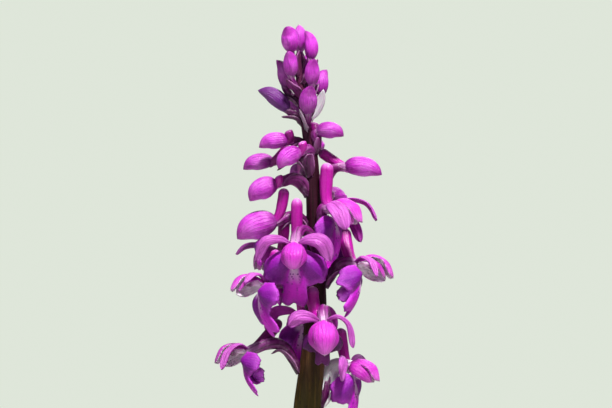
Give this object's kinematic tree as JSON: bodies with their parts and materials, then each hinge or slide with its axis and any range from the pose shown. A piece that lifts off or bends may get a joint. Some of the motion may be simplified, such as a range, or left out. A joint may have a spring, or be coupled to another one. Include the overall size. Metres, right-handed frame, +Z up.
{
  "type": "potted early purple orchid",
  "caption": "Upright flowering orchid spike with hooded purple blooms above a rosette of blotched leaves, in a plain round clay pot.",
  "frame": {"origin": "centre of the pot's flat underside", "axes": "+Z up along the stem, -Y towards the front of the spike as pictured"},
  "size_m": [0.2193, 0.196, 0.3325],
  "materials": {
    "clay": "matte",
    "soil": "matte",
    "stem": "satin",
    "leaf": "satin",
    "bloom": "satin",
    "lip": "satin"
  },
  "bodies": {
    "root": {"pot": "clay", "soil": "soil", "stem": "stem", "rosette_leaf_1": "leaf", "rosette_leaf_2": "leaf", "rosette_leaf_3": "leaf", "rosette_leaf_4": "leaf", "rosette_leaf_5": "leaf", "rosette_leaf_6": "leaf", "stem_leaf_1": "leaf", "stem_leaf_2": "leaf", "bud_01": "bloom", "bud_02": "bloom", "bud_03": "bloom", "bud_04": "bloom", "bud_05": "bloom", "bud_06": "bloom", "bud_07": "bloom", "bud_08": "bloom", "bud_09": "bloom", "bud_10": "bloom", "bud_11": "bloom", "bud_12": "bloom", "bud_13": "bloom", "bud_14": "bloom", "bud_15": "bloom", "bud_16": "bloom", "bud_17": "bloom", "bud_18": "bloom", "bud_19": "bloom", "bud_20": "bloom", "flower_21": "bloom", "lip_21": "lip", "flower_22": "bloom", "lip_22": "lip", "flower_23": "bloom", "lip_23": "lip", "flower_24": "bloom", "lip_24": "lip", "flower_25": "bloom", "lip_25": "lip", "flower_26": "bloom", "lip_26": "lip", "flower_27": "bloom", "lip_27": "lip", "flower_28": "bloom", "lip_28": "lip", "flower_29": "bloom", "lip_29": "lip", "flower_30": "bloom", "lip_30": "lip", "flower_31": "bloom", "lip_31": "lip"}
  },
  "joints": []
}
